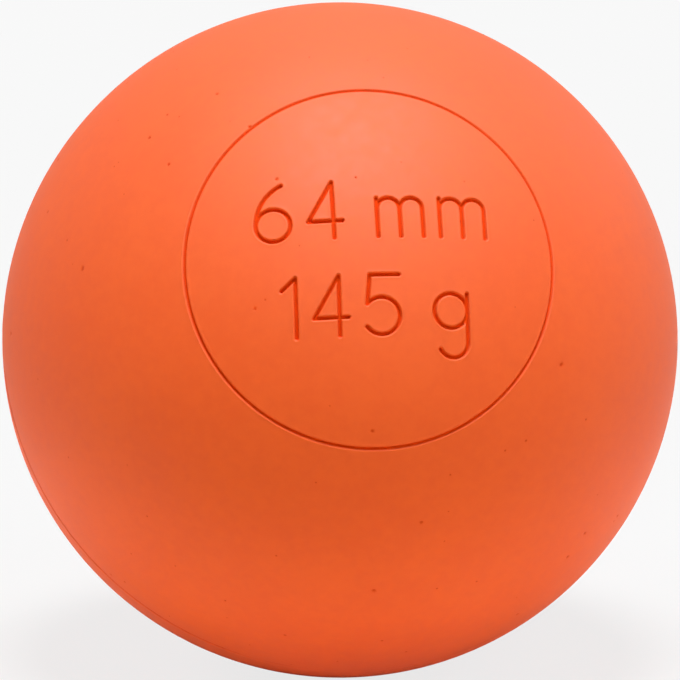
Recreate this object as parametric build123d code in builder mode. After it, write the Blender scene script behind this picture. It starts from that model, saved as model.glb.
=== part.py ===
from build123d import *
from math import asin, cos, degrees, radians, sin, sqrt
import os

# A field lacrosse ball: one solid piece of rubber, cured in a mould of two halves.
# Sizes are millimetres. The origin is the ball's centre, +Z is up and the mark looks along -Y.

# The ball. 63.7 across is 200 around, the middle of what the playing rules allow.
ball_diameter = 63.7
mark_tilt = 26.0  # degrees that the mark looks up, as the ball lies

# The parting line, a low bead of trimmed flash where the two mould halves met.
bead_width = 0.9
bead_height = 0.06

# The ring engraved around the mark.
ring_diameter = 33.8
ring_groove_width = 0.42

# The mark, which gives the nominal size and weight in strokes of one width.
stroke_width = 0.44
stroke_depth = 0.3
digit_height = 5.4
digit_width = 3.1
letter_height = 3.7
arch_width = 2.1
descender = 2.0
character_gap = 1.6
word_gap = 3.2
line_gap = 3.6

ball_radius = ball_diameter / 2
ring_radius = ring_diameter / 2
ring_height = sqrt(ball_radius**2 - ring_radius**2)

# The mould axis runs through the middle of the mark. The mark is drawn square to that axis, and the
# ball's section lies along it, with the axis as the section's own Y.
mark_plane = Plane(
    origin=(0, 0, 0),
    x_dir=(1, 0, 0),
    z_dir=(0, -cos(radians(mark_tilt)), sin(radians(mark_tilt))),
)
section_plane = Plane(origin=(0, 0, 0), x_dir=mark_plane.x_dir, z_dir=-mark_plane.y_dir)
mould_axis = Axis((0, 0, 0), mark_plane.z_dir)


def engrave(*lines):
    """Gives each line the width of the stroke, with round ends, as a round cutter leaves it."""
    for line in lines:
        trace(line, line_width=stroke_width)
        with Locations(line @ 0, line @ 1):
            Circle(stroke_width / 2)


# The characters, each with its left edge and its foot on the sketch's own axes.
one_width = digit_width * 0.4
one_flag_height = digit_height * 0.8
with BuildSketch() as one:
    with BuildLine():
        flag = Line((0, one_flag_height), (one_width, digit_height))
        upright = Line((one_width, digit_height), (one_width, 0))
    engrave(flag, upright)

four_bar_height = digit_height * 0.3
four_upright = digit_width * 0.74
with BuildSketch() as four:
    with BuildLine():
        slope = Line((four_upright, digit_height), (0, four_bar_height))
        bar = Line((0, four_bar_height), (digit_width, four_bar_height))
        upright = Line((four_upright, digit_height), (four_upright, 0))
    engrave(slope, bar, upright)

five_bowl_radius = digit_height * 0.31
five_bowl_middle = (digit_width - five_bowl_radius, five_bowl_radius)
five_bowl_start = 140  # degrees
five_bowl_sweep = -285  # degrees, clockwise
five_shoulder = digit_width * 0.14
with BuildSketch() as five:
    with BuildLine():
        bowl = CenterArc(five_bowl_middle, five_bowl_radius, five_bowl_start, five_bowl_sweep)
        stem = Line(bowl @ 0, (five_shoulder, digit_height))
        flag = Line((five_shoulder, digit_height), (digit_width, digit_height))
    engrave(bowl, stem, flag)

six_bowl_radius = digit_width / 2
six_rise = digit_height - six_bowl_radius
six_bowl_middle = (six_bowl_radius, six_bowl_radius)
six_stem_radius = six_rise * 1.1
six_stem_middle = (six_stem_radius, six_bowl_radius)
six_stem_sweep = -degrees(asin(six_rise / six_stem_radius))
with BuildSketch() as six:
    with BuildLine():
        stem = CenterArc(six_stem_middle, six_stem_radius, 180, six_stem_sweep)
        upper_bowl = CenterArc(six_bowl_middle, six_bowl_radius, 0, 180)
        lower_bowl = CenterArc(six_bowl_middle, six_bowl_radius, 180, 180)
    engrave(stem, upper_bowl, lower_bowl)

arch_radius = arch_width / 2
m_width = arch_width * 2
m_spring = letter_height - arch_radius
with BuildSketch() as letter_m:
    with BuildLine():
        upright = Line((0, letter_height), (0, 0))
        first_arch = CenterArc((arch_radius, m_spring), arch_radius, 180, -180)
        first_leg = Line((arch_width, m_spring), (arch_width, 0))
        second_arch = CenterArc((arch_width + arch_radius, m_spring), arch_radius, 180, -180)
        second_leg = Line((m_width, m_spring), (m_width, 0))
    engrave(upright, first_arch, first_leg, second_arch, second_leg)

g_bowl_radius = digit_width / 2
g_bowl_middle = (g_bowl_radius, letter_height - g_bowl_radius)
g_hook_radius = g_bowl_radius * 0.9
g_hook_height = g_hook_radius - descender
g_hook_sweep = -150  # degrees, clockwise
with BuildSketch() as letter_g:
    with BuildLine():
        upper_bowl = CenterArc(g_bowl_middle, g_bowl_radius, 0, 180)
        lower_bowl = CenterArc(g_bowl_middle, g_bowl_radius, 180, 180)
        upright = Line((digit_width, letter_height), (digit_width, g_hook_height))
        hook = CenterArc((digit_width - g_hook_radius, g_hook_height), g_hook_radius, 0, g_hook_sweep)
    engrave(upper_bowl, lower_bowl, upright, hook)

# The two lines of the mark: each character with its width and the space that follows it.
size_line = [
    (six, digit_width, character_gap),
    (four, digit_width, word_gap),
    (letter_m, m_width, character_gap),
    (letter_m, m_width, 0),
]
weight_line = [
    (one, one_width, character_gap),
    (four, digit_width, character_gap),
    (five, digit_width, word_gap),
    (letter_g, digit_width, 0),
]


def set_line(characters, foot):
    """Sets one line of characters, centred on the mark, with its foot at the given height."""
    left = -sum(width + space for character, width, space in characters) / 2
    for character, width, space in characters:
        with Locations((left, foot)):
            add(character.sketch)
        left += width + space


# The mark's strokes, from their floors outwards. The floors follow the ball at one depth.
with BuildPart() as mark_strokes:
    with BuildSketch(mark_plane):
        set_line(size_line, line_gap / 2)
        set_line(weight_line, -line_gap / 2 - digit_height)
    extrude(amount=ball_diameter)
    Sphere(ball_radius - stroke_depth, mode=Mode.SUBTRACT)

# The ball, turned from its section about the mould axis, then grooved and engraved.
bead_edge = bead_width / 2
bead_foot = sqrt(ball_radius**2 - bead_edge**2)
with BuildPart() as ball:
    with BuildSketch(section_plane):
        with BuildLine():
            RadiusArc((0, ball_radius), (bead_foot, bead_edge), ball_radius)
            ThreePointArc((bead_foot, bead_edge), (ball_radius + bead_height, 0), (bead_foot, -bead_edge))
            RadiusArc((bead_foot, -bead_edge), (0, -ball_radius), ball_radius)
            Line((0, -ball_radius), (0, ball_radius))
        make_face()
    revolve(axis=mould_axis)
    with BuildSketch(section_plane):
        with Locations((ring_radius, ring_height)):
            Circle(ring_groove_width / 2)
    revolve(axis=mould_axis, mode=Mode.SUBTRACT)
    add(mark_strokes.part, mode=Mode.SUBTRACT)

ball.part.label = "ball"
os.makedirs("parts", exist_ok=True)
export_step(ball.part, "parts/ball.step")
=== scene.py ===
import math

import bmesh
import bpy
import numpy as np
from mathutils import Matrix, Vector


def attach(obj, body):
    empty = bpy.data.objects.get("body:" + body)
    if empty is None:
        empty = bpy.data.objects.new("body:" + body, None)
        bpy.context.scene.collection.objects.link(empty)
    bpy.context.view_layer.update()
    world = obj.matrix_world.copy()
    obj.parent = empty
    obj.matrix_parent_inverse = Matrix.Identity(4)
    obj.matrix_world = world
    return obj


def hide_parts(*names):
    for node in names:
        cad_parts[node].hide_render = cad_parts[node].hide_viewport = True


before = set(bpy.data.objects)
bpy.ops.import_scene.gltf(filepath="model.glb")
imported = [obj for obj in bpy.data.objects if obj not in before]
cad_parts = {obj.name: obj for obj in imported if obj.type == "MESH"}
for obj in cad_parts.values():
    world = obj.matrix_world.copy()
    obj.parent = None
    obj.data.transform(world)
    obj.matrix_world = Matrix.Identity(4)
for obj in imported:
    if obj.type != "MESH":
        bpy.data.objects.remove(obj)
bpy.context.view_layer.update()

# The ball is one slug of solid rubber, pressed and cured in a mould of two halves.
# Its skin copies the mould: an engraved ring, a mark inside it and the parting line of the halves.
# Lengths are metres. The mould axis runs through the middle of the mark.
ball_radius = 0.0637 / 2
mark_tilt = math.radians(26.0)
mould_axis = Vector((0.0, -math.cos(mark_tilt), math.sin(mark_tilt)))
mark_right = Vector((1.0, 0.0, 0.0))
mark_up = mould_axis.cross(mark_right)

# The mark gives the nominal size and weight. A round cutter engraved it in the mould in strokes of one
# width, so each character is a few lines and arcs, with its left edge and its foot on the axes.
stroke_width = 0.00044
stroke_depth = 0.0003
digit_height = 0.0054
digit_width = 0.0031
letter_height = 0.0037
arch_width = 0.0021
descender = 0.0020
character_gap = 0.0016
word_gap = 0.0032
line_gap = 0.0036
arc_step = 9  # degrees from one point of an arc to the next


def line(*corners):
    """A stroke along straight runs."""
    return np.array(corners, float)


def arc(middle, radius, start, sweep):
    """A stroke along an arc, in degrees, counted counterclockwise."""
    count = 2 + int(abs(sweep) / arc_step)
    turn = np.radians(np.linspace(start, start + sweep, count))
    return np.array(middle) + radius * np.stack([np.cos(turn), np.sin(turn)], 1)


one_width = digit_width * 0.4
one_flag = digit_height * 0.8
one = [line((0, one_flag), (one_width, digit_height), (one_width, 0))]

four_bar = digit_height * 0.3
four_upright = digit_width * 0.74
four = [
    line((four_upright, 0), (four_upright, digit_height), (0, four_bar), (digit_width, four_bar)),
]

five_bowl = digit_height * 0.31
five_shoulder = digit_width * 0.14
five_start = 140  # degrees
five_sweep = -285  # degrees, clockwise
five_arc = arc((digit_width - five_bowl, five_bowl), five_bowl, five_start, five_sweep)
five = [
    five_arc,
    line(five_arc[0], (five_shoulder, digit_height), (digit_width, digit_height)),
]

six_bowl = digit_width / 2
six_rise = digit_height - six_bowl
six_stem = six_rise * 1.1
six_sweep = -math.degrees(math.asin(six_rise / six_stem))
six = [
    arc((six_bowl, six_bowl), six_bowl, 0, 360),
    arc((six_stem, six_bowl), six_stem, 180, six_sweep),
]

arch = arch_width / 2
m_width = arch_width * 2
m_spring = letter_height - arch
letter_m = [
    line((0, letter_height), (0, 0)),
    arc((arch, m_spring), arch, 180, -180),
    line((arch_width, m_spring), (arch_width, 0)),
    arc((arch_width + arch, m_spring), arch, 180, -180),
    line((m_width, m_spring), (m_width, 0)),
]

g_bowl = digit_width / 2
g_hook = g_bowl * 0.9
g_hook_height = g_hook - descender
g_hook_sweep = -150  # degrees, clockwise
letter_g = [
    arc((g_bowl, letter_height - g_bowl), g_bowl, 0, 360),
    line((digit_width, letter_height), (digit_width, g_hook_height)),
    arc((digit_width - g_hook, g_hook_height), g_hook, 0, g_hook_sweep),
]

# The two lines of the mark, centred: each character with its width and the space that follows it.
size_line = [
    (six, digit_width, character_gap),
    (four, digit_width, word_gap),
    (letter_m, m_width, character_gap),
    (letter_m, m_width, 0),
]
weight_line = [
    (one, one_width, character_gap),
    (four, digit_width, character_gap),
    (five, digit_width, word_gap),
    (letter_g, digit_width, 0),
]
strokes = []
for characters, foot in ((size_line, line_gap / 2), (weight_line, -line_gap / 2 - digit_height)):
    left = -sum(width + space for character, width, space in characters) / 2
    for character, width, space in characters:
        strokes += [stroke + (left, foot) for stroke in character]
        left += width + space

stroke_starts = np.concatenate([stroke[:-1] for stroke in strokes])
stroke_runs = np.concatenate([np.diff(stroke, axis=0) for stroke in strokes])


def stroke_distance(places):
    """How far each place in the plane of the mark is from the middle of the nearest stroke."""
    nearest = np.full(len(places), np.inf)
    for start, run in zip(stroke_starts, stroke_runs):
        along = np.clip((places - start) @ run / (run @ run), 0, 1)
        away = places - start - along[:, None] * run
        nearest = np.minimum(nearest, np.einsum("ij,ij->i", away, away))
    return np.sqrt(nearest)


# Pinholes: dust and trapped air leave tiny dark pits anywhere on the skin, most of them near the
# smallest size. Each is a shallow round dish.
pinhole_count = 190
pinhole_seed = 41
smallest_pinhole = 0.00007
largest_pinhole = 0.00023
pinhole_rarity = 3  # the higher, the rarer the large ones
pinhole_depth = 0.45  # share of the pinhole's own radius
chance = np.random.default_rng(pinhole_seed)
pinholes = chance.normal(size=(pinhole_count, 3))
pinholes *= ball_radius / np.linalg.norm(pinholes, axis=1)[:, None]
pinhole_growth = chance.random(pinhole_count) ** pinhole_rarity
pinhole_radii = smallest_pinhole + (largest_pinhole - smallest_pinhole) * pinhole_growth

# The ring and the parting line are rounds about the mould axis, at these angles from it. Where the mould
# halves met, a hairline runs beside a low bead of trimmed flash. Beside a groove a lip stands a little proud.
ring_radius = 0.0338 / 2
ring_angle = math.asin(ring_radius / ball_radius)
ring_width = 0.00042
ring_depth = 0.00021
lip_height = 0.00002
parting_angle = math.pi / 2
bead_width = 0.0009
bead_height = 0.00006
hairline_width = 0.00015
hairline_depth = 0.00005

# The blank is a net of triangles on the ball, fine where the mould has cut detail and coarse elsewhere.
# A grain is the longest side of a triangle, and grows by a coarsening beyond the detail.
axis = np.array(mould_axis)
plane = np.stack([np.array(mark_right), np.array(mark_up)], 1)
blank_subdivisions = 6
groove_grain = 0.000122
groove_reach = 0.55  # share of a groove's width that is kept fine, from its middle
groove_coarsening = 1600.0  # to the metre, by the square of the distance
hairline_grain = 0.00016
bead_grain = 0.0004
coarsening = 0.8
pit_grain = 1.2  # share of the pinhole's own radius
pit_reach = 1.3  # share of the pinhole's own radius that is kept fine
pit_coarsening = 1.6


def grain(places):
    """The longest side that a triangle may have at each place."""
    reach = np.linalg.norm(places, axis=1)
    polar = np.arccos(np.clip(places @ axis / reach, -1, 1))
    off_ring = ball_radius * np.abs(polar - ring_angle) - ring_width * groove_reach
    longest = groove_grain + groove_coarsening * np.maximum(off_ring, 0) ** 2
    beyond = ball_radius * (polar - parting_angle)
    off_hairline = np.abs(beyond) - hairline_width
    longest = np.minimum(longest, hairline_grain + coarsening * np.maximum(off_hairline, 0))
    off_bead = np.abs(beyond - bead_width * 0.5) - bead_width * 0.5
    longest = np.minimum(longest, bead_grain + coarsening * np.maximum(off_bead, 0))
    marked = np.flatnonzero(polar < ring_angle)
    off_stroke = stroke_distance(places[marked] @ plane) - stroke_width * groove_reach
    stroke_grain = groove_grain + groove_coarsening * np.maximum(off_stroke, 0) ** 2
    longest[marked] = np.minimum(longest[marked], stroke_grain)
    toward = places / reach[:, None] @ pinholes.T / ball_radius
    pit_radius = pinhole_radii[toward.argmax(1)]
    off_pit = ball_radius * np.arccos(np.clip(toward.max(1), -1, 1)) - pit_radius * pit_reach
    return np.minimum(longest, pit_radius * pit_grain + pit_coarsening * np.maximum(off_pit, 0))


def refine(points, corners):
    """Halves the longest side of each triangle that is too coarse, and keeps the net closed."""
    following = [1, 2, 0]
    unchecked = np.ones(len(corners), bool)
    while True:
        reach = np.linalg.norm(points[corners[:, following]] - points[corners], axis=2)
        longest = reach.argmax(1)
        coarse = unchecked.copy()
        coarse[unchecked] = reach[unchecked].max(1) > grain(points[corners[unchecked]].mean(1))
        if not coarse.any():
            return points, corners

        # Each side has one number, which the triangles on both sides of it share.
        ends = np.sort(np.stack([corners, corners[:, following]], 2), axis=2).reshape(-1, 2)
        names, sides = np.unique(ends[:, 0] * len(points) + ends[:, 1], return_inverse=True)
        sides = sides.reshape(-1, 3)

        # A triangle with any side halved has its longest side halved too, and so on to its neighbours.
        longest_side = sides[np.arange(len(corners)), longest]
        halved = np.zeros(len(names), bool)
        halved[longest_side[coarse]] = True
        count = 0
        while count != halved.sum():
            count = halved.sum()
            halved[longest_side[halved[sides].any(1)]] = True

        # The middle of each halved side becomes a point on the ball.
        middle = np.cumsum(halved) - 1 + len(points)
        fresh = points[names[halved] // len(points)] + points[names[halved] % len(points)]
        fresh *= ball_radius / np.linalg.norm(fresh, axis=1)[:, None]

        # Each triangle is turned so that its longest side comes first, then split in two, three or four.
        turned = (longest[:, None] + np.arange(3)) % 3
        a, b, c = np.take_along_axis(corners, turned, 1).T
        sides = np.take_along_axis(sides, turned, 1)
        first, second, third = halved[sides].T
        ab, bc, ca = middle[sides].T
        whole = np.stack([a, b, c], 1)[~first]
        halves = [
            np.stack([a, ab, c], 1)[first & ~third],
            np.stack([a, ab, ca], 1)[first & third],
            np.stack([ca, ab, c], 1)[first & third],
            np.stack([ab, b, c], 1)[first & ~second],
            np.stack([ab, b, bc], 1)[first & second],
            np.stack([ab, bc, c], 1)[first & second],
        ]
        points = np.concatenate([points, fresh])
        corners = np.concatenate([whole, *halves])
        unchecked = np.arange(len(corners)) >= len(whole)


net = bmesh.new()
bmesh.ops.create_icosphere(net, subdivisions=blank_subdivisions, radius=ball_radius)
blank_points = np.array([corner.co for corner in net.verts])
blank_corners = np.array([[corner.index for corner in face.verts] for face in net.faces])
net.free()
blank_points, blank_corners = refine(blank_points, blank_corners)


def piece_from(name, points, edges, faces):
    """A new object in the scene with its place in its mesh."""
    mesh = bpy.data.meshes.new(name)
    mesh.from_pydata(points.tolist(), edges, faces)
    piece = bpy.data.objects.new(name, mesh)
    bpy.context.scene.collection.objects.link(piece)
    return piece


blank = piece_from("ball_blank", blank_points, [], blank_corners.tolist())

# The path of the cutter lies in the plane of the mark, with the mark's own right and up as X and Y.
stroke_points = np.pad(np.concatenate(strokes), ((0, 0), (0, 1)))
stroke_edges = []
first_point = 0
for stroke in strokes:
    last_point = first_point + len(stroke) - 1
    stroke_edges += [(point, point + 1) for point in range(first_point, last_point)]
    first_point = last_point + 1
cutter_path = piece_from("mark_cutter_path", stroke_points, stroke_edges, [])

pinhole_places = piece_from("pinhole_places", pinholes, [], [])
pinhole_places.data.attributes.new("radius", "FLOAT", "POINT").data.foreach_set("value", pinhole_radii)

# The rubber. Orange pigment is milled into it, so it is one colour throughout, a little uneven, with a
# fine matte skin from the blasted mould. The grooves and the hairline are painted a deeper red, painted
# shade for the recesses, and the pinholes are coloured a darker red. Within grooves and pinholes the gloss
# is tinted orange, a painted reflection of their walls in place of the white studio.
pigment = (0.85, 0.094, 0.001, 1.0)
pale_pigment = (0.88, 0.106, 0.003, 1.0)
# Painted shade: the deeper red that the grooves and the hairline turn to, for the shade in the recesses.
recess_shade_colour = (0.60, 0.002, 0.0001, 1.0)
# The darker red that the pinholes turn to.
pinhole_dark_red = (0.50, 0.003, 0.0002, 1.0)
open_gloss = (1.0, 1.0, 1.0, 1.0)
# Painted reflection: the orange gloss tint in grooves and pinholes, standing in for the reflection of their
# walls.
painted_wall_reflection = (0.6, 0.12, 0.02, 1.0)
groove_shade = 0.5
hairline_shade = 0.95
# How far the pinholes turn to that darker red.
pinhole_darkening = 0.65
least_uneven = 0.7  # the range of two noises added up
most_uneven = 1.3
smoothest = 0.66
roughest = 0.74
blast_strength = 0.35
blast_depth = 0.000012
rubber = bpy.data.materials.new("orange_rubber")
rubber.use_nodes = True
rubber_tree = rubber.node_tree
skin = rubber_tree.nodes["Principled BSDF"]
skin.inputs["Specular IOR Level"].default_value = 0.3


def add_node(tree, kind, feeds=None, **settings):
    """Adds a node to a tree and fills its inputs from sockets or plain values."""
    made = tree.nodes.new(kind)
    for name, value in settings.items():
        setattr(made, name, value)
    for name, value in (feeds or {}).items():
        if isinstance(value, bpy.types.NodeSocket):
            tree.links.new(value, made.inputs[name])
        else:
            made.inputs[name].default_value = value
    return made


def reckon(operation, *values):
    """One sum on plain amounts, in the tree of the sockets it is given."""
    tree = next(value.id_data for value in values if isinstance(value, bpy.types.NodeSocket))
    return add_node(tree, "ShaderNodeMath", dict(enumerate(values)), operation=operation).outputs[0]


def ramp(value, start, end, low=0.0, high=1.0, easing="SMOOTHSTEP"):
    """Low up to the start of the range, turning to high at its end."""
    feeds = {"Value": value, "From Min": start, "From Max": end, "To Min": low, "To Max": high}
    eased = add_node(value.id_data, "ShaderNodeMapRange", feeds, interpolation_type=easing)
    return eased.outputs["Result"]


def mottle(scale, detail, roughness):
    """A cloudy pattern that is fixed in the rubber."""
    feeds = {"Vector": rubber_place, "Scale": scale, "Detail": detail, "Roughness": roughness}
    return add_node(rubber_tree, "ShaderNodeTexNoise", feeds).outputs["Fac"]


def moulded_in(name):
    """What the mould leaves on the skin under this name, from 0 to 1."""
    return add_node(rubber_tree, "ShaderNodeAttribute", attribute_name=name).outputs["Fac"]


def colour_between(amount, colour, other):
    """One colour turning to the other by the amount. A colour mix takes them as inputs 6 and 7."""
    feeds = {"Factor": amount, 6: colour, 7: other}
    return add_node(rubber_tree, "ShaderNodeMix", feeds, data_type="RGBA").outputs[2]


rubber_place = add_node(rubber_tree, "ShaderNodeTexCoord").outputs["Object"]
clouds = mottle(scale=110.0, detail=4.0, roughness=0.6)
flecks = mottle(scale=900.0, detail=3.0, roughness=0.6)
tooth = mottle(scale=5200.0, detail=2.0, roughness=0.5)
groove = moulded_in("groove")
hairline = moulded_in("hairline")
pit = moulded_in("pinhole")

unevenness = reckon("ADD", clouds, flecks)
paleness = ramp(unevenness, least_uneven, most_uneven)
body_colour = colour_between(paleness, pigment, pale_pigment)
# How much painted shade the grooves and the hairline get, as a deeper red.
depth = reckon(
    "MAXIMUM",
    reckon("MULTIPLY", groove, groove_shade),
    reckon("MULTIPLY", hairline, hairline_shade),
)
recess_shaded_colour = colour_between(depth, body_colour, recess_shade_colour)
# The pinholes are coloured a darker red.
skin_colour = colour_between(reckon("MULTIPLY", pit, pinhole_darkening), recess_shaded_colour, pinhole_dark_red)
rubber_tree.links.new(skin_colour, skin.inputs["Base Color"])

satin = ramp(unevenness, least_uneven, most_uneven, smoothest, roughest, easing="LINEAR")
sunk = reckon("MAXIMUM", depth, pit)
dull = ramp(sunk, 0.0, 1.0, low=satin, easing="LINEAR")
rubber_tree.links.new(dull, skin.inputs["Roughness"])

# Where the gloss gets the painted orange reflection tint: in the grooves and the pinholes.
painted_reflection_share = reckon("MAXIMUM", groove, pit)
rubber_tree.links.new(colour_between(painted_reflection_share, open_gloss, painted_wall_reflection), skin.inputs["Specular Tint"])

blast = {"Strength": blast_strength, "Distance": blast_depth, "Height": tooth}
blasted = add_node(rubber_tree, "ShaderNodeBump", blast)
rubber_tree.links.new(blasted.outputs["Normal"], skin.inputs["Normal"])

# The mould is two engraved halves that close on the hot rubber. Here it is a tree of nodes that presses
# the ring, the mark, the parting line and the pinholes into the blank, and leaves on the skin how far
# each has been cut, for the rubber's colour.
wander_seed = 24.0
mould = bpy.data.node_groups.new("ball_mould", "GeometryNodeTree")
mould.is_modifier = True
mould.interface.new_socket("Geometry", in_out="OUTPUT", socket_type="NodeSocketGeometry")
mould.interface.new_socket("Geometry", in_out="INPUT", socket_type="NodeSocketGeometry")
mould_settings = {
    "Cutter path": ("NodeSocketObject", cutter_path),
    "Pinhole places": ("NodeSocketObject", pinhole_places),
    "Rubber": ("NodeSocketMaterial", rubber),
    "Mould axis": ("NodeSocketVector", mould_axis),
    "Mark right": ("NodeSocketVector", mark_right),
    "Mark up": ("NodeSocketVector", mark_up),
    "Ball radius": ("NodeSocketFloat", ball_radius),
    "Ring angle": ("NodeSocketFloat", ring_angle),
    "Ring width": ("NodeSocketFloat", ring_width),
    "Ring depth": ("NodeSocketFloat", ring_depth),
    "Stroke width": ("NodeSocketFloat", stroke_width),
    "Stroke depth": ("NodeSocketFloat", stroke_depth),
    "Parting angle": ("NodeSocketFloat", parting_angle),
    "Bead width": ("NodeSocketFloat", bead_width),
    "Bead height": ("NodeSocketFloat", bead_height),
    "Hairline width": ("NodeSocketFloat", hairline_width),
    "Hairline depth": ("NodeSocketFloat", hairline_depth),
    "Lip height": ("NodeSocketFloat", lip_height),
    "Pinhole depth": ("NodeSocketFloat", pinhole_depth),
    "Wander seed": ("NodeSocketFloat", wander_seed),
}
mould_sockets = {}
for name, (kind, value) in mould_settings.items():
    mould_sockets[name] = mould.interface.new_socket(name, in_out="INPUT", socket_type=kind).identifier

mould_output = mould.nodes.new("NodeGroupOutput")
given = mould.nodes.new("NodeGroupInput").outputs


def project(operation, *values):
    """How far one direction reaches along another, or one direction made a unit long."""
    made = add_node(mould, "ShaderNodeVectorMath", dict(enumerate(values)), operation=operation)
    return made.outputs["Value" if operation == "DOT_PRODUCT" else "Vector"]


def fall(distance, inner, outer):
    """1 within the inner distance, easing to 0 at the outer one."""
    return ramp(distance, inner, outer, low=1.0, high=0.0, easing="SMOOTHERSTEP")


def groove_across(distance, width, floor_share):
    """1 on the floor of a groove of this width, easing to 0 just beyond its edges."""
    edge_share = 0.52
    return fall(distance, reckon("MULTIPLY", width, floor_share), reckon("MULTIPLY", width, edge_share))


def lip_across(distance, width):
    """1 on the crest of the lip beside a groove of this width, easing to 0 on both sides."""
    crest_share = 0.75
    slope_share = 0.34
    off_crest = reckon("SUBTRACT", distance, reckon("MULTIPLY", width, crest_share))
    return fall(reckon("ABSOLUTE", off_crest), 0.0, reckon("MULTIPLY", width, slope_share))


def wandering(scale, detail):
    """A cloudy pattern around the ball, from the seed."""
    feeds = {"Vector": outward, "W": given["Wander seed"], "Scale": scale, "Detail": detail}
    return add_node(mould, "ShaderNodeTexNoise", feeds, noise_dimensions="4D").outputs["Fac"]


spot = add_node(mould, "GeometryNodeInputPosition").outputs[0]
outward = project("NORMALIZE", spot)
polar = reckon("ARCCOSINE", project("DOT_PRODUCT", outward, given["Mould axis"]))

# The ring is a groove with a round bottom, and its lips stand a little proud.
ring_floor_share = 0.1
off_ring = reckon("ABSOLUTE", reckon("SUBTRACT", polar, given["Ring angle"]))
off_ring = reckon("MULTIPLY", off_ring, given["Ball radius"])
ring_cut = groove_across(off_ring, given["Ring width"], ring_floor_share)
ring_lip = lip_across(off_ring, given["Ring width"])

# The mark is cut square to the mould axis, so distances are taken in the plane of the mark.
stroke_floor_share = 0.2
across = project("DOT_PRODUCT", spot, given["Mark right"])
along = project("DOT_PRODUCT", spot, given["Mark up"])
drawn = add_node(mould, "ShaderNodeCombineXYZ", {"X": across, "Y": along}).outputs[0]
path = add_node(mould, "GeometryNodeObjectInfo", {"Object": given["Cutter path"]}).outputs["Geometry"]
off_stroke = add_node(
    mould,
    "GeometryNodeProximity",
    {0: path, "Source Position": drawn},
    target_element="EDGES",
).outputs["Distance"]
marked_side = reckon("LESS_THAN", polar, given["Ring angle"])
stroke_cut = groove_across(off_stroke, given["Stroke width"], stroke_floor_share)
stroke_cut = reckon("MULTIPLY", stroke_cut, marked_side)
stroke_lip = reckon("MULTIPLY", lip_across(off_stroke, given["Stroke width"]), marked_side)
lips = reckon("MAXIMUM", ring_lip, stroke_lip)
lips = reckon("MULTIPLY", lips, reckon("SUBTRACT", 1.0, stroke_cut))

# The parting line sways a little. Beside its hairline the trimmed flash stands as a low bead, steep
# towards the hairline and higher on some stretches than on others. The hairline is fainter in spots.
sway_share = 0.25
bead_crest_share = 0.3
noise_middle = 0.5
bead_sway = reckon("MULTIPLY", given["Bead width"], sway_share)
bead_crest = reckon("MULTIPLY", given["Bead width"], bead_crest_share)
beyond = reckon("MULTIPLY", reckon("SUBTRACT", polar, given["Parting angle"]), given["Ball radius"])
ragged = reckon("SUBTRACT", wandering(scale=40.0, detail=2.0), noise_middle)
beyond = reckon("ADD", beyond, reckon("MULTIPLY", ragged, bead_sway))
flash = ramp(wandering(scale=2.0, detail=3.0), start=0.46, end=0.58, low=0.12)
bead = reckon("MULTIPLY", ramp(beyond, 0.0, bead_crest), fall(beyond, bead_crest, given["Bead width"]))
bead = reckon("MULTIPLY", bead, flash)
broken = ramp(wandering(scale=30.0, detail=2.0), start=0.45, end=0.6, low=0.6, easing="LINEAR")
hairline_cut = fall(reckon("ABSOLUTE", beyond), 0.0, given["Hairline width"])
hairline_cut = reckon("MULTIPLY", hairline_cut, reckon("MULTIPLY", flash, broken))

# Each pinhole is a small round dish of its own radius.
dish_floor_share = 0.2
dish_edge_share = 1.3
places = add_node(mould, "GeometryNodeObjectInfo", {"Object": given["Pinhole places"]}).outputs["Geometry"]
nearest = add_node(
    mould,
    "GeometryNodeSampleNearest",
    {0: places, "Sample Position": spot},
    domain="POINT",
).outputs[0]
each_radius = add_node(
    mould,
    "GeometryNodeInputNamedAttribute",
    {"Name": "radius"},
    data_type="FLOAT",
).outputs[0]
its_radius = add_node(
    mould,
    "GeometryNodeSampleIndex",
    {0: places, "Value": each_radius, "Index": nearest},
    data_type="FLOAT",
    domain="POINT",
).outputs[0]
off_pinhole = add_node(
    mould,
    "GeometryNodeProximity",
    {0: places, "Source Position": spot},
    target_element="POINTS",
).outputs["Distance"]
pinhole_cut = fall(
    off_pinhole,
    reckon("MULTIPLY", its_radius, dish_floor_share),
    reckon("MULTIPLY", its_radius, dish_edge_share),
)
pinhole_floor = reckon("MULTIPLY", its_radius, given["Pinhole depth"])

# The pressing moves each point of the blank along its own radius, and leaves three amounts on the skin.
deepest_groove = reckon(
    "MAXIMUM",
    reckon("MULTIPLY", ring_cut, given["Ring depth"]),
    reckon("MULTIPLY", stroke_cut, given["Stroke depth"]),
)
height = reckon("MULTIPLY", bead, given["Bead height"])
height = reckon("ADD", height, reckon("MULTIPLY", lips, given["Lip height"]))
height = reckon("SUBTRACT", height, reckon("MULTIPLY", hairline_cut, given["Hairline depth"]))
height = reckon("SUBTRACT", height, deepest_groove)
height = reckon("SUBTRACT", height, reckon("MULTIPLY", pinhole_cut, pinhole_floor))
pressed = add_node(
    mould,
    "ShaderNodeVectorMath",
    {0: outward, "Scale": reckon("ADD", given["Ball radius"], height)},
    operation="SCALE",
).outputs["Vector"]
shape = given["Geometry"]
for name, amount in (
    ("groove", reckon("MAXIMUM", ring_cut, stroke_cut)),
    ("hairline", hairline_cut),
    ("pinhole", pinhole_cut),
):
    shape = add_node(
        mould,
        "GeometryNodeStoreNamedAttribute",
        {"Geometry": shape, "Name": name, "Value": amount},
        data_type="FLOAT",
        domain="POINT",
    ).outputs["Geometry"]
for kind, feeds in (
    ("GeometryNodeSetPosition", {"Position": pressed}),
    ("GeometryNodeSetShadeSmooth", {}),
    ("GeometryNodeRealizeInstances", {}),
    ("GeometryNodeSetMaterial", {"Material": given["Rubber"]}),
):
    shape = add_node(mould, kind, {0: shape, **feeds}).outputs[0]
mould.links.new(shape, mould_output.inputs["Geometry"])

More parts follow.
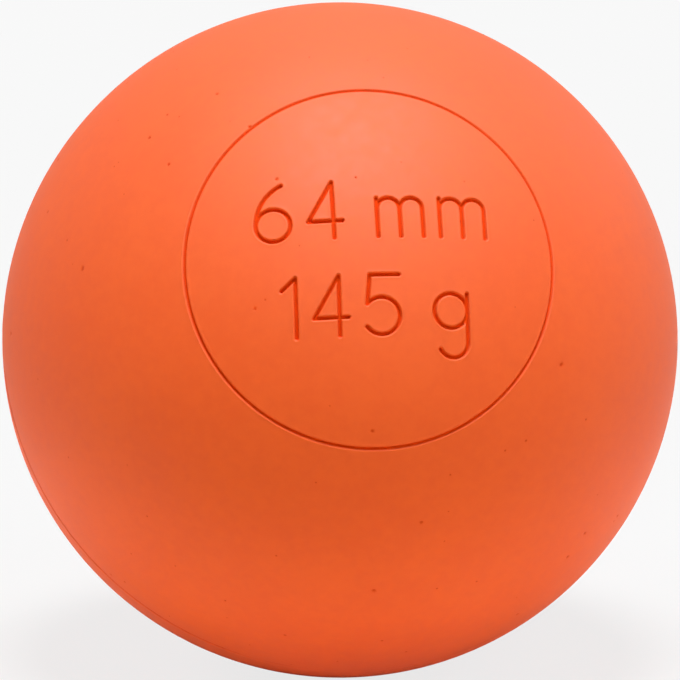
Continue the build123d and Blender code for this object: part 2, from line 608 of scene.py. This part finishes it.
pressing = blank.modifiers.new("ball_mould", "NODES")
pressing.node_group = mould
for name, (kind, value) in mould_settings.items():
    pressing[mould_sockets[name]] = value
bpy.context.view_layer.update()
pressed_blank = blank.evaluated_get(bpy.context.evaluated_depsgraph_get())
moulded_mesh = bpy.data.meshes.new_from_object(pressed_blank)
moulded_ball = bpy.data.objects.new("moulded_ball", moulded_mesh)
bpy.context.scene.collection.objects.link(moulded_ball)
for helper in (blank, cutter_path, pinhole_places):
    bpy.data.objects.remove(helper)
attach(moulded_ball, "root")
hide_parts("ball")

# The floor is a pale matte studio sheet under the ball, which sweeps up far off all round as a backdrop.
# It is shown as white paper that keeps the ball's shadow near the ball and evens out farther away. In
# the ball's gloss it is dark only right under the ball, where little light gets in.
floor_rings = [(1.0, 0.0), (3.4, 0.0), (3.6, 0.02), (3.75, 0.08), (3.85, 0.2), (3.9, 0.5)]
floor_sides = 96
sheet_grey = (0.8, 0.8, 0.8, 1.0)
paper_white = (0.94, 0.94, 0.94, 1.0)
floor_turns = np.linspace(0, 2 * math.pi, floor_sides, endpoint=False)
floor_points = [np.zeros((1, 3))]
for reach, rise in floor_rings:
    across_x = reach * np.cos(floor_turns)
    across_y = reach * np.sin(floor_turns)
    floor_points.append(np.stack([across_x, across_y, np.full(floor_sides, rise)], 1))
floor_faces = []
for side in range(floor_sides):
    onward = (side + 1) % floor_sides
    floor_faces.append((0, 1 + side, 1 + onward))
    for ring in range(1, len(floor_rings)):
        outer = 1 + ring * floor_sides
        inner = outer - floor_sides
        floor_faces.append((inner + side, outer + side, outer + onward, inner + onward))
floor = piece_from("studio_floor", np.concatenate(floor_points) - (0, 0, ball_radius), [], floor_faces)
paper = bpy.data.materials.new("pale_paper")
paper.use_nodes = True
paper_tree = paper.node_tree
sheet = paper_tree.nodes["Principled BSDF"]
sheet.inputs["Base Color"].default_value = sheet_grey
sheet.inputs["Roughness"].default_value = 0.9
sheet.inputs["Specular IOR Level"].default_value = 0.0
white = add_node(paper_tree, "ShaderNodeEmission", {"Color": paper_white}).outputs["Emission"]
rays = add_node(paper_tree, "ShaderNodeLightPath").outputs
from_centre = add_node(paper_tree, "ShaderNodeTexCoord").outputs["Object"]
far = add_node(paper_tree, "ShaderNodeVectorMath", {0: from_centre}, operation="LENGTH").outputs["Value"]
evened = ramp(far, start=0.03, end=0.35, low=0.84)
mirrored = ramp(far, start=0.033, end=0.042, low=0.15)
looked_at = reckon("MULTIPLY", rays["Is Camera Ray"], evened)
bounced = reckon("MAXIMUM", rays["Is Glossy Ray"], rays["Is Transmission Ray"])
whitened = reckon("MAXIMUM", looked_at, reckon("MULTIPLY", bounced, mirrored))
shown = add_node(paper_tree, "ShaderNodeMixShader", {"Fac": whitened, 1: sheet.outputs["BSDF"], 2: white})
paper_tree.links.new(shown.outputs["Shader"], paper_tree.nodes["Material Output"].inputs["Surface"])
paper.cycles.emission_sampling = "NONE"
floor.data.materials.append(paper)

# Studio light: two softboxes overhead and one at each side, a panel, two strips and a fill behind, and
# low glowing cards on the table that lift the underside. Without glossy a lamp lights only the rubber's
# colour, and without diffuse it shows only in the gloss, so that each of the two is set by itself.
studio = bpy.data.worlds.new("studio")
bpy.context.scene.world = studio
studio.use_nodes = True
studio.node_tree.nodes["Background"].inputs["Color"].default_value = (1.0, 1.0, 1.0, 1.0)
studio.node_tree.nodes["Background"].inputs["Strength"].default_value = 0.1


def softbox(name, spot, size, power, aim=(0.0, 0.0, 0.0), diffuse=True, glossy=True):
    """A soft rectangular lamp at a spot, turned to its aim."""
    lamp = bpy.data.lights.new(name, "AREA")
    lamp.shape = "RECTANGLE"
    lamp.size, lamp.size_y = size
    lamp.energy = power
    stand = bpy.data.objects.new(name, lamp)
    bpy.context.scene.collection.objects.link(stand)
    stand.location = spot
    stand.rotation_euler = (Vector(aim) - Vector(spot)).to_track_quat("-Z", "Y").to_euler()
    stand.visible_camera = False
    stand.visible_diffuse = diffuse
    stand.visible_glossy = glossy


def table_card(name, x, y, size, power, diffuse=True, glossy=True):
    """A low glowing card that lies just above the table and looks up."""
    lift = 0.0006
    above = 1.0
    softbox(name, (x, y, lift - ball_radius), size, power, (x, y, above), diffuse, glossy)


softbox("softbox_over", spot=(0.0, -0.32, 1.6), size=(0.5, 0.5), power=25.7)
softbox("softbox_crown", spot=(0.08, -0.3, 1.6), size=(0.5, 1.05), power=91.0, diffuse=False)
softbox("softbox_left", spot=(-1.45, -0.1, 1.1), size=(1.0, 0.7), power=6.8, glossy=False)
softbox("softbox_right", spot=(1.19, -1.0, 0.9), size=(1.0, 0.7), power=8.4)
softbox("panel_behind", spot=(0.0, 1.9, 1.1), size=(4.0, 0.8), power=20.0, diffuse=False)
softbox("strip_left", spot=(-1.7, 0.9, 0.9), size=(0.6, 1.0), power=8.5, diffuse=False)
softbox("strip_right", spot=(1.7, 0.9, 0.9), size=(0.6, 1.0), power=17.0, diffuse=False)
softbox("fill_behind", spot=(0.0, 1.8, 0.1), size=(0.6, 0.6), power=4.0, glossy=False)
table_card("table_glow", x=0.0, y=-0.024, size=(0.11, 0.026), power=0.0019, glossy=False)
table_card("card_front", x=0.0, y=-0.024, size=(0.11, 0.026), power=0.0034, diffuse=False)
table_card("card_left", x=-0.09, y=0.03, size=(0.1, 0.12), power=0.045, diffuse=False)
table_card("card_right", x=0.09, y=0.03, size=(0.1, 0.12), power=0.045, diffuse=False)

# The camera stands where the photograph was taken from, and the ball fills its square frame.
# The pixel sizes are half the frame and the radius of the ball's outline in it.
distance_in_radii = 25.0
camera_distance = distance_in_radii * ball_radius
camera_azimuth = math.radians(-6.2)
camera_elevation = math.radians(12.1)
half_frame_pixels = 340.0
outline_pixels = 337.74
outline_slope = 1.0 / math.sqrt(distance_in_radii ** 2 - 1.0)
lens = bpy.data.cameras.new("camera")
lens.sensor_width = 36.0
lens.lens = lens.sensor_width / 2 / (outline_slope * half_frame_pixels / outline_pixels)
lens.clip_start = 0.01
camera = bpy.data.objects.new("camera", lens)
bpy.context.scene.collection.objects.link(camera)
camera.location = camera_distance * Vector((
    math.sin(camera_azimuth) * math.cos(camera_elevation),
    -math.cos(camera_azimuth) * math.cos(camera_elevation),
    math.sin(camera_elevation),
))
camera.rotation_euler = (-camera.location).to_track_quat("-Z", "Y").to_euler()
bpy.context.scene.camera = camera
bpy.context.scene.view_settings.view_transform = "Standard"
